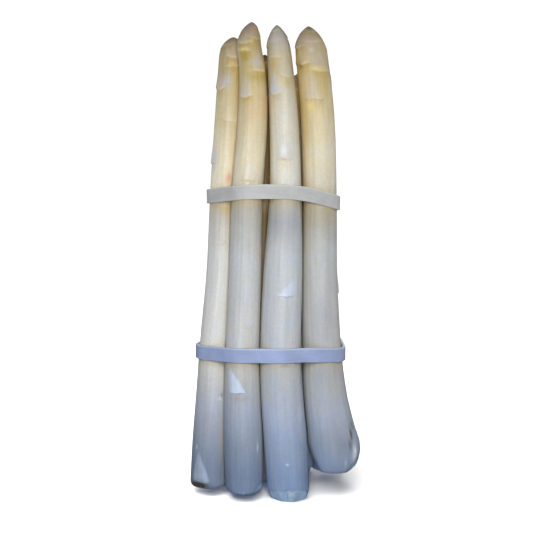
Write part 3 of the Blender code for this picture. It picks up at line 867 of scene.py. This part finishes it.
skinGroup = makeSkinGroup(makeFibreGroup())
skinBump = {"Strength": 0.65, "Distance": 0.00015}
skinShine = {
    "Subsurface Weight": 0.2, "Subsurface Radius": (1, 0.7, 0.4), "Subsurface Scale": 0.003,
    "Specular IOR Level": 0.4, "Coat Weight": 0.06, "Coat Roughness": 0.38,
}
offsetStep = 0.37  # shifts the patterns from spear to spear


def makeSkin(spear, index):
    values = {
        "Warmth": spear["warmth"], "Paleness": spear["paleness"], "Coolness": spear["coolness"],
        "Tone": spear["tone"], "Foot Tone": spear["footTone"], "Inner Shade": spear.get("innerShade", 0),
        "Offset": index * offsetStep,
    }
    return makeFinish("skin" + spear["piece"][5:], skinGroup, values, skinBump, skinShine)


for index, name in enumerate(spears):
    makeSpear(name, index)
print("spears done")


# Bands: where a loop stretched round the spears touches them, evenly spaced along it.
def bandOutline(band):
    bearings = np.radians(np.arange(0, 360, bandForm["feelerTurn"]))
    outward = np.stack((np.sin(bearings), -np.cos(bearings)), 1)
    touch = np.zeros_like(outward)
    height = np.full(len(bearings), band["middle"])
    for passing in range(bandForm["passes"]):
        farthest = np.full(len(bearings), -1.0)
        for spear in spears.values():
            for rise in bandForm["feelers"]:
                level = height + rise * bandForm["width"]
                middle = np.stack((readSmoothly(spear["x"], level), readSmoothly(spear["y"], level)), 1)
                side = middle + outward * (radiusAt(spear, level) + bandForm["gap"])[:, None]
                reach = (side * outward).sum(1)
                touch = np.where((reach > farthest)[:, None], side, touch)
                farthest = np.maximum(farthest, reach)
        height = bandHeight(band, touch[:, 0], touch[:, 1])
    loop = np.vstack((touch, touch[:1]))
    travelled = np.concatenate(((0,), np.cumsum(np.hypot(*np.diff(loop, axis=0).T))))
    even = np.linspace(0, travelled[-1], bandForm["around"], endpoint=False)
    return np.stack((np.interp(even, travelled, loop[:, 0]), np.interp(even, travelled, loop[:, 1])), 1)


# A plain round band on Z, with its corners rounded off.
def spinBand():
    form, ring = bandForm, bmesh.new()
    core, halfWidth = form["core"], form["width"] / 2
    outerHeights = np.linspace(halfWidth, -halfWidth, form["outerRings"])
    outer = [(core + form["thickness"], height) for height in outerHeights]
    corners = [(core, halfWidth), *outer, (core, -halfWidth)]
    section = [ring.verts.new((radius, 0, height)) for radius, height in corners]
    for first, second in zip(section, section[1:] + section[:1]):
        ring.edges.new((first, second))
    spinRound(ring, form["around"], form["weld"])
    sharp = [edge for edge in ring.edges if len(edge.link_faces) == 2 and edge.calc_face_angle() > 1]
    bmesh.ops.bevel(ring, geom=sharp, offset=form["corner"] / 2, affect="EDGES",
                    segments=form["cornerSegments"], profile=0.5, material=-1)
    return ring


def makeBand(name):
    band, form = bands[name], bandForm
    around, halfWidth, thickness = form["around"], form["width"] / 2, form["thickness"]
    mesh = makeMesh(spinBand(), band["piece"])
    z, angle, distance = readPoints(mesh)
    turn = (angle / math.tau) % 1 * around
    depth = distance - form["core"]
    outline = bandOutline(band)
    tangent = np.roll(outline, -2, 0) - np.roll(outline, 2, 0)
    tangent /= np.hypot(*tangent.T)[:, None]
    outward = np.stack((tangent[:, 1], -tangent[:, 0]), 1)
    low = np.floor(turn).astype(int) % around
    part = (turn - np.floor(turn))[:, None]
    place = outline[low] * (1 - part) + outline[(low + 1) % around] * part
    normal = outward[low] * (1 - part) + outward[(low + 1) % around] * part
    dent = np.zeros_like(z)
    for groove in band["grooves"]:
        dent += form["grooveDepth"] * np.exp(-((z - groove) / form["grooveWidth"]) ** 2)
    dent = dent * smoothStep((depth - thickness * form["grooveFloor"]) / form["grooveBlend"])
    flat = place + normal * (depth - dent)[:, None]
    lap = turn / around * math.tau
    bow = sum(size * np.sin(lap * count + start) for size, count, start in form["waves"])
    movePoints(mesh, flat[:, 0], flat[:, 1], bandHeight(band, place[:, 0], place[:, 1]) + z + bow)
    # edge is positive along the top edge of the band, where the rubber gets a painted highlight, and
    # negative along the bottom edge, which gets none.
    paintRadius = form["paintRadius"]
    along = np.column_stack((np.cos(lap), np.sin(lap), z)) * (paintRadius, paintRadius, mm)
    rim = smoothStep((np.abs(z) - halfWidth + form["rimWidth"]) / form["rimBlend"])
    writeAttribute(mesh, "along", along)
    writeAttribute(mesh, "edge", rim * np.sign(z))
    piece = addPiece(band["piece"], mesh, makeRubber(band["piece"]))
    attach(piece, "root")
    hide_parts(name)


# The lower band is tinted bluer and darker than the upper one, partly its own colour and partly painted cool
# shade low down. The pale colour serves both the real lines in the rubber and a painted highlight along the
# top edge.
rubberLooks = {
    "bandLower": {"Tint": (0.38, 0.45, 0.68, 1), "Lines And Highlight": (0.66, 0.74, 0.92, 1), "Dust": 0.15,
                  "Base Roughness": 0.55},
    "bandUpper": {"Tint": (0.56, 0.56, 0.54, 1), "Lines And Highlight": (0.72, 0.72, 0.70, 1), "Dust": 0.2,
                  "Base Roughness": 0.6},
}
rubberBump = {"Strength": 0.35, "Distance": 0.00008}
rubberPattern = {
    "lineStretch": (0.12, 0.12, 1), "lines": (1500.0, 2.0), "cloud": (160.0, 4.0), "grain": (2600.0, 2.0),
    "cloudShade": (0.3, 0.7, 0.9, 1.1), "dustLines": (0.45, 0.75), "rim": 0.8,
    "cloudRoughness": 0.1, "grainRelief": 0.4,
}


def makeRubberGroup():
    form = rubberPattern
    inputs = (("Tint", "Color"), ("Lines And Highlight", "Color"), ("Dust", "Float"), ("Base Roughness", "Float"))
    group, given = startGroup("rubber", inputs, finishOutputs)
    along = readAttribute(group, "along", "Vector")
    lines = addNoise(group, stretch(group, along, form["lineStretch"]), *form["lines"])
    places = addNode(group, "TexCoord").outputs["Object"]
    cloud = addNoise(group, places, *form["cloud"])
    grain = addNoise(group, places, *form["grain"])
    shade = remap(group, cloud, form["cloudShade"])
    colour = shadeColour(group, given["Tint"], shade)
    lineAmount = times(group, remap(group, lines, form["dustLines"]), given["Dust"])
    colour = mixColour(group, lineAmount, colour, given["Lines And Highlight"])
    # A painted highlight along the top edge, in the same pale colour as the lines.
    edgeHighlightAmount = times(group, readAttribute(group, "edge"), form["rim"], clamp=True)
    colour = mixColour(group, edgeHighlightAmount, colour, given["Lines And Highlight"])
    roughness = plus(group, given["Base Roughness"], times(group, cloud, form["cloudRoughness"]))
    relief = plus(group, times(group, grain, form["grainRelief"]), lines)
    return endGroup(group, Color=colour, Roughness=roughness, Height=relief)


rubberGroup = makeRubberGroup()


def makeRubber(piece):
    return makeFinish("rubber" + piece[4:], rubberGroup, rubberLooks[piece], rubberBump, {})


for name in bands:
    makeBand(name)
print("bands done")

# Stage: a white floor, soft lights in front, at the sides, behind and low down, and a light for
# the floor alone.

bpy.context.scene.view_settings.view_transform = "Standard"

studio = {
    "floorSize": 60.0,
    "floorPaint": {"Base Color": (0.9, 0.9, 0.92, 1), "Roughness": 0.9, "Specular IOR Level": 0},
    "worldLow": (0.085, 0.11, 0.17), "worldHigh": (0.105, 0.103, 0.098), "worldRise": (-0.7, 0.7),
    "seenColour": (1, 1, 1, 1), "seenStrength": 1.05,
    "floorSun": {"fall": (14, 24), "spread": 50, "strength": 4.2},
}
lamps = {  # aim is a height on the middle line of the bundle
    "key": {"place": (2, -300, 175), "aim": 108, "size": 120, "power": 0.605, "tint": (1.0, 0.98, 0.94)},
    "side": {"place": (310, 90, 190), "aim": 110, "size": 220, "power": 0.3, "tint": (1.0, 0.96, 0.88)},
    "otherSide": {"place": (-300, 170, 190), "aim": 110, "size": 220, "power": 0.3,
                  "tint": (1.0, 0.98, 0.95)},
    "back": {"place": (30, 420, 230), "aim": 108, "size": 240, "power": 0.9, "tint": (1.0, 0.98, 0.95)},
    "low": {"place": (-20, -230, 5), "aim": 16, "size": 120, "power": 0.16, "tint": (0.56, 0.74, 1.0)},
}


def addLamp(name, values):
    lamp = bpy.data.lights.new(name, "AREA")
    lamp.shape = "DISK"
    lamp.size = values["size"] * mm
    lamp.energy = values["power"]
    lamp.color = values["tint"]
    light = bpy.data.objects.new(name, lamp)
    place = np.array(values["place"], float)
    aim = np.array((0, 0, values["aim"]), float) - place
    level = math.hypot(aim[0], aim[1])
    light.location = place * mm
    light.rotation_euler = (math.pi / 2 + math.atan2(aim[2], level), 0, math.atan2(-aim[0], aim[1]))
    light.visible_camera = False
    bpy.context.scene.collection.objects.link(light)


plane = bmesh.new()
bmesh.ops.create_grid(plane, x_segments=1, y_segments=1, size=studio["floorSize"] / 2)
floorMesh = makeMesh(plane, "studioFloor")
floor = bpy.data.objects.new("studioFloor", floorMesh)
floor.visible_diffuse = False
floor.visible_glossy = False
bpy.context.scene.collection.objects.link(floor)
floorPaint = bpy.data.materials.new("floorPaint")
floorPaint.use_nodes = True
setInputs(floorPaint.node_tree.nodes["Principled BSDF"], studio["floorPaint"])
floorMesh.materials.append(floorPaint)

for name, values in lamps.items():
    addLamp(name, values)

floorOnly = bpy.data.collections.new("floorOnly")
floorOnly.objects.link(floor)
floorSun = bpy.data.lights.new("floorSun", "SUN")
floorSun.angle = math.radians(studio["floorSun"]["spread"])
floorSun.energy = studio["floorSun"]["strength"]
sunObject = bpy.data.objects.new("floorSun", floorSun)
tiltX, tiltY = studio["floorSun"]["fall"]
sunObject.rotation_euler = (math.radians(tiltY), math.radians(-tiltX), 0)
sunObject.light_linking.receiver_collection = floorOnly
bpy.context.scene.collection.objects.link(sunObject)

# The world lights softly, bluer from below, and shows plain white to the camera.
world = bpy.data.worlds.new("studioWorld")
bpy.context.scene.world = world
world.use_nodes = True
sky = world.node_tree
sky.nodes.clear()
ways = addNode(sky, "TexCoord").outputs["Generated"]
rising = remap(sky, addNode(sky, "SeparateXYZ", ((0, ways),)).outputs["Z"], studio["worldRise"])
glow = mixColour(sky, rising, studio["worldLow"], studio["worldHigh"])
lit = addNode(sky, "Background", (("Color", glow), ("Strength", 1.0))).outputs[0]
seenValues = (("Color", studio["seenColour"]), ("Strength", studio["seenStrength"]))
seen = addNode(sky, "Background", seenValues).outputs[0]
isSeen = addNode(sky, "LightPath").outputs["Is Camera Ray"]
mixed = addNode(sky, "MixShader", ((0, isSeen), (1, lit), (2, seen))).outputs[0]
skyOut = sky.nodes.new("ShaderNodeOutputWorld")
sky.links.new(mixed, skyOut.inputs["Surface"])
print("stage lit")
